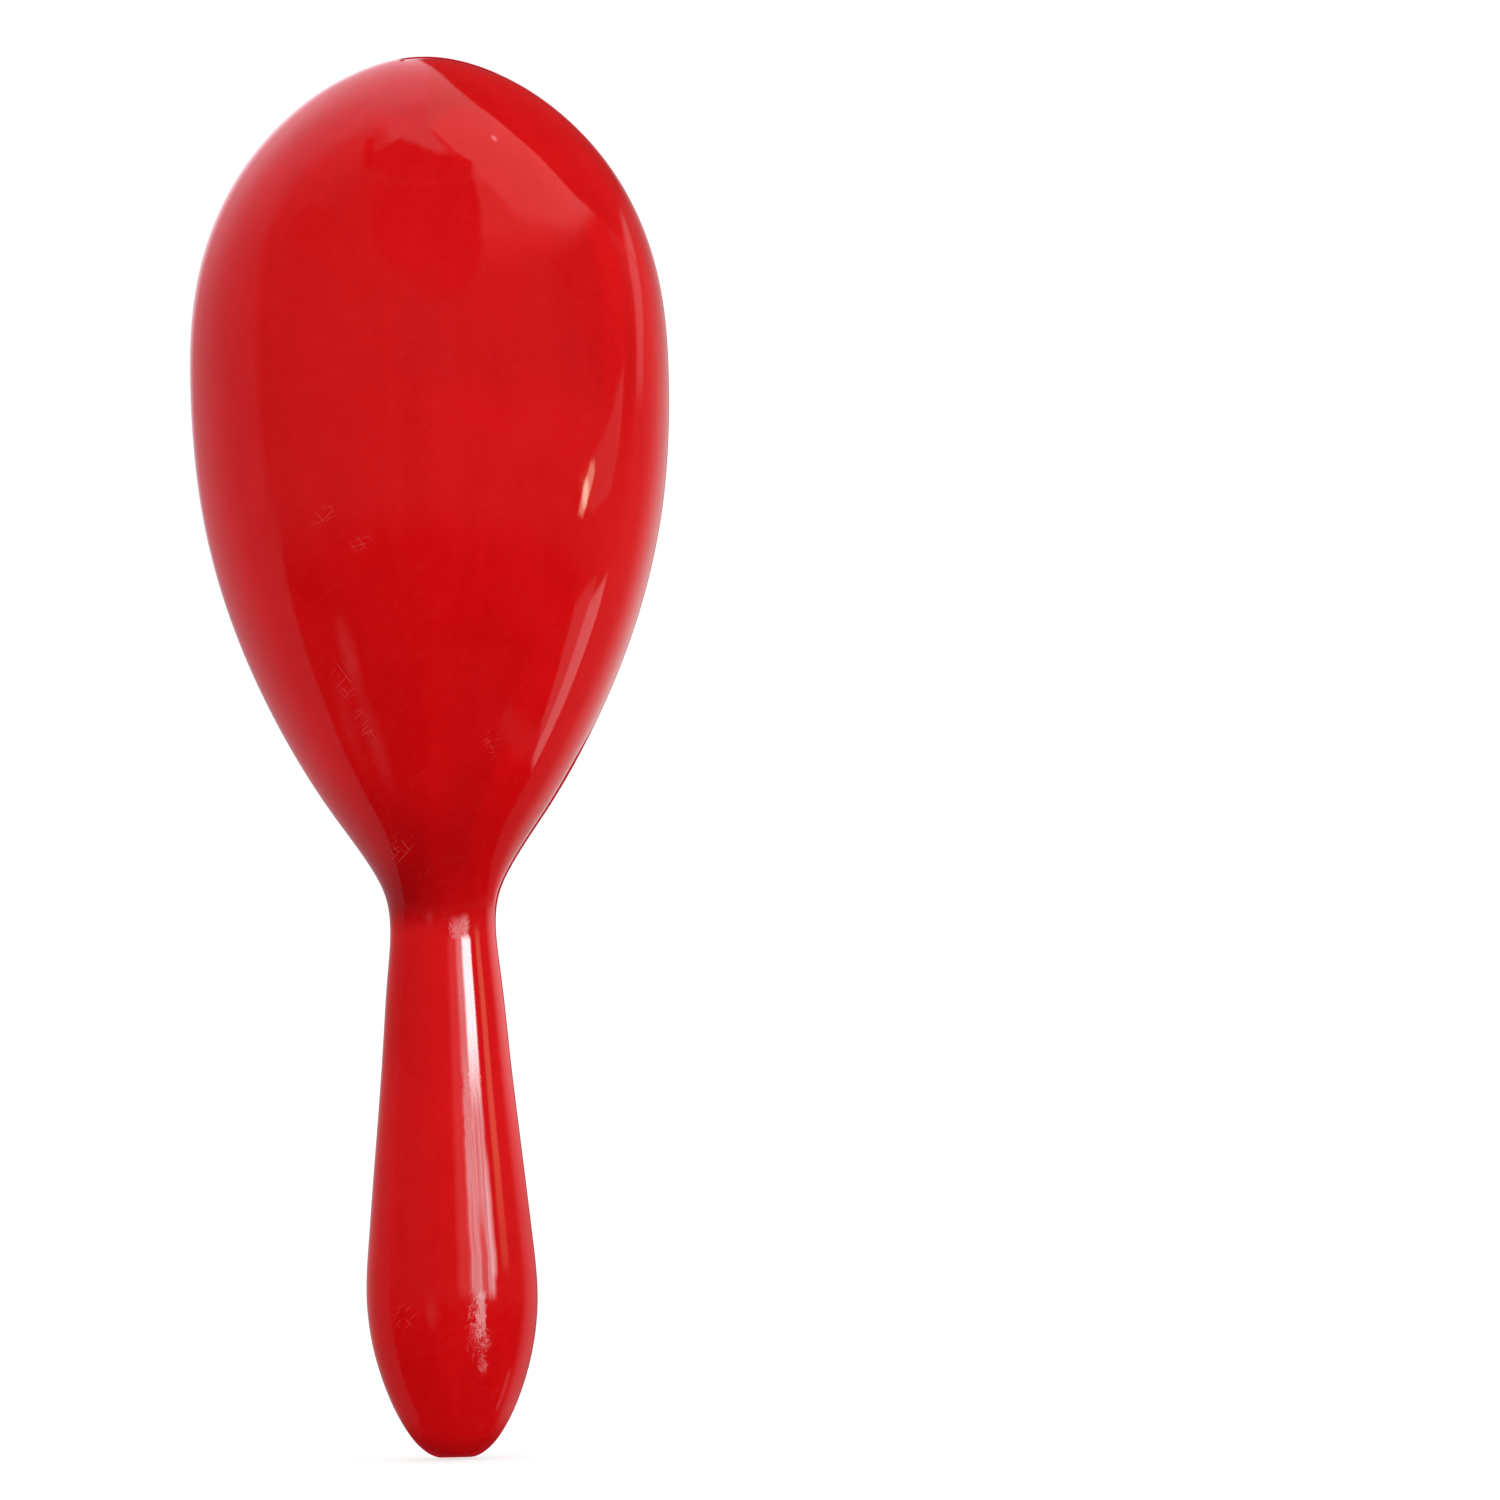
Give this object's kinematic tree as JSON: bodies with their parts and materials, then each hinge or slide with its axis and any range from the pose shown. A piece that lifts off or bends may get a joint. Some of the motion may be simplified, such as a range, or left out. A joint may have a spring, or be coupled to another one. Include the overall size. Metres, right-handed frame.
{
  "type": "maraca",
  "caption": "Handled shaker: a hollow egg-shaped head and a waisted grip, moulded as two half shells joined lengthwise, with loose steel shot that rattles in the head.",
  "frame": {"origin": "centre of the small flat on the handle's tip, on the axis of symmetry", "axes": "+Z along the axis of symmetry from the handle's tip to the crown of the head; the shells part on the plane Y = 0, and +Y is the rear shell's side"},
  "size_m": [0.0684, 0.0684, 0.2],
  "materials": {
    "shell_plastic": "high gloss as moulded, opaque red",
    "steel_shot": "tumbled, dull"
  },
  "bodies": {
    "shell": {"front_shell": "shell_plastic", "rear_shell": "shell_plastic"},
    "shot_01": {"shot_01": "steel_shot"},
    "shot_02": {"shot_02": "steel_shot"},
    "shot_03": {"shot_03": "steel_shot"},
    "shot_04": {"shot_04": "steel_shot"},
    "shot_05": {"shot_05": "steel_shot"},
    "shot_06": {"shot_06": "steel_shot"},
    "shot_07": {"shot_07": "steel_shot"},
    "shot_08": {"shot_08": "steel_shot"},
    "shot_09": {"shot_09": "steel_shot"},
    "shot_10": {"shot_10": "steel_shot"},
    "shot_11": {"shot_11": "steel_shot"},
    "shot_12": {"shot_12": "steel_shot"},
    "shot_13": {"shot_13": "steel_shot"},
    "shot_14": {"shot_14": "steel_shot"},
    "shot_15": {"shot_15": "steel_shot"},
    "shot_16": {"shot_16": "steel_shot"},
    "shot_17": {"shot_17": "steel_shot"},
    "shot_18": {"shot_18": "steel_shot"},
    "shot_19": {"shot_19": "steel_shot"},
    "shot_20": {"shot_20": "steel_shot"},
    "shot_21": {"shot_21": "steel_shot"},
    "shot_22": {"shot_22": "steel_shot"},
    "shot_23": {"shot_23": "steel_shot"},
    "shot_24": {"shot_24": "steel_shot"},
    "shot_25": {"shot_25": "steel_shot"},
    "shot_26": {"shot_26": "steel_shot"},
    "shot_27": {"shot_27": "steel_shot"},
    "shot_28": {"shot_28": "steel_shot"},
    "shot_29": {"shot_29": "steel_shot"},
    "shot_30": {"shot_30": "steel_shot"},
    "shot_31": {"shot_31": "steel_shot"},
    "shot_32": {"shot_32": "steel_shot"},
    "shot_33": {"shot_33": "steel_shot"},
    "shot_34": {"shot_34": "steel_shot"},
    "shot_35": {"shot_35": "steel_shot"},
    "shot_36": {"shot_36": "steel_shot"},
    "shot_37": {"shot_37": "steel_shot"}
  },
  "joints": [
    {"name": "shot_01_travel", "type": "slide", "parent": "shell", "child": "shot_01", "axis": [0, 0, 1], "range_m": [0, 0.094]},
    {"name": "shot_02_travel", "type": "slide", "parent": "shell", "child": "shot_02", "axis": [0, 0, 1], "range_m": [0, 0.0945]},
    {"name": "shot_03_travel", "type": "slide", "parent": "shell", "child": "shot_03", "axis": [0, 0, 1], "range_m": [0, 0.0945]},
    {"name": "shot_04_travel", "type": "slide", "parent": "shell", "child": "shot_04", "axis": [0, 0, 1], "range_m": [0, 0.0935]},
    {"name": "shot_05_travel", "type": "slide", "parent": "shell", "child": "shot_05", "axis": [0, 0, 1], "range_m": [0, 0.0925]},
    {"name": "shot_06_travel", "type": "slide", "parent": "shell", "child": "shot_06", "axis": [0, 0, 1], "range_m": [0, 0.093]},
    {"name": "shot_07_travel", "type": "slide", "parent": "shell", "child": "shot_07", "axis": [0, 0, 1], "range_m": [0, 0.0935]},
    {"name": "shot_08_travel", "type": "slide", "parent": "shell", "child": "shot_08", "axis": [0, 0, 1], "range_m": [0, 0.0935]},
    {"name": "shot_09_travel", "type": "slide", "parent": "shell", "child": "shot_09", "axis": [0, 0, 1], "range_m": [0, 0.093]},
    {"name": "shot_10_travel", "type": "slide", "parent": "shell", "child": "shot_10", "axis": [0, 0, 1], "range_m": [0, 0.0925]},
    {"name": "shot_11_travel", "type": "slide", "parent": "shell", "child": "shot_11", "axis": [0, 0, 1], "range_m": [0, 0.0935]},
    {"name": "shot_12_travel", "type": "slide", "parent": "shell", "child": "shot_12", "axis": [0, 0, 1], "range_m": [0, 0.092]},
    {"name": "shot_13_travel", "type": "slide", "parent": "shell", "child": "shot_13", "axis": [0, 0, 1], "range_m": [0, 0.0935]},
    {"name": "shot_14_travel", "type": "slide", "parent": "shell", "child": "shot_14", "axis": [0, 0, 1], "range_m": [0, 0.0915]},
    {"name": "shot_15_travel", "type": "slide", "parent": "shell", "child": "shot_15", "axis": [0, 0, 1], "range_m": [0, 0.09]},
    {"name": "shot_16_travel", "type": "slide", "parent": "shell", "child": "shot_16", "axis": [0, 0, 1], "range_m": [0, 0.091]},
    {"name": "shot_17_travel", "type": "slide", "parent": "shell", "child": "shot_17", "axis": [0, 0, 1], "range_m": [0, 0.0895]},
    {"name": "shot_18_travel", "type": "slide", "parent": "shell", "child": "shot_18", "axis": [0, 0, 1], "range_m": [0, 0.091]},
    {"name": "shot_19_travel", "type": "slide", "parent": "shell", "child": "shot_19", "axis": [0, 0, 1], "range_m": [0, 0.0915]},
    {"name": "shot_20_travel", "type": "slide", "parent": "shell", "child": "shot_20", "axis": [0, 0, 1], "range_m": [0, 0.0915]},
    {"name": "shot_21_travel", "type": "slide", "parent": "shell", "child": "shot_21", "axis": [0, 0, 1], "range_m": [0, 0.091]},
    {"name": "shot_22_travel", "type": "slide", "parent": "shell", "child": "shot_22", "axis": [0, 0, 1], "range_m": [0, 0.0915]},
    {"name": "shot_23_travel", "type": "slide", "parent": "shell", "child": "shot_23", "axis": [0, 0, 1], "range_m": [0, 0.09]},
    {"name": "shot_24_travel", "type": "slide", "parent": "shell", "child": "shot_24", "axis": [0, 0, 1], "range_m": [0, 0.091]},
    {"name": "shot_25_travel", "type": "slide", "parent": "shell", "child": "shot_25", "axis": [0, 0, 1], "range_m": [0, 0.091]},
    {"name": "shot_26_travel", "type": "slide", "parent": "shell", "child": "shot_26", "axis": [0, 0, 1], "range_m": [0, 0.0885]},
    {"name": "shot_27_travel", "type": "slide", "parent": "shell", "child": "shot_27", "axis": [0, 0, 1], "range_m": [0, 0.0895]},
    {"name": "shot_28_travel", "type": "slide", "parent": "shell", "child": "shot_28", "axis": [0, 0, 1], "range_m": [0, 0.088]},
    {"name": "shot_29_travel", "type": "slide", "parent": "shell", "child": "shot_29", "axis": [0, 0, 1], "range_m": [0, 0.088]},
    {"name": "shot_30_travel", "type": "slide", "parent": "shell", "child": "shot_30", "axis": [0, 0, 1], "range_m": [0, 0.088]},
    {"name": "shot_31_travel", "type": "slide", "parent": "shell", "child": "shot_31", "axis": [0, 0, 1], "range_m": [0, 0.089]},
    {"name": "shot_32_travel", "type": "slide", "parent": "shell", "child": "shot_32", "axis": [0, 0, 1], "range_m": [0, 0.088]},
    {"name": "shot_33_travel", "type": "slide", "parent": "shell", "child": "shot_33", "axis": [0, 0, 1], "range_m": [0, 0.0885]},
    {"name": "shot_34_travel", "type": "slide", "parent": "shell", "child": "shot_34", "axis": [0, 0, 1], "range_m": [0, 0.0885]},
    {"name": "shot_35_travel", "type": "slide", "parent": "shell", "child": "shot_35", "axis": [0, 0, 1], "range_m": [0, 0.088]},
    {"name": "shot_36_travel", "type": "slide", "parent": "shell", "child": "shot_36", "axis": [0, 0, 1], "range_m": [0, 0.088]},
    {"name": "shot_37_travel", "type": "slide", "parent": "shell", "child": "shot_37", "axis": [0, 0, 1], "range_m": [0, 0.088]}
  ]
}
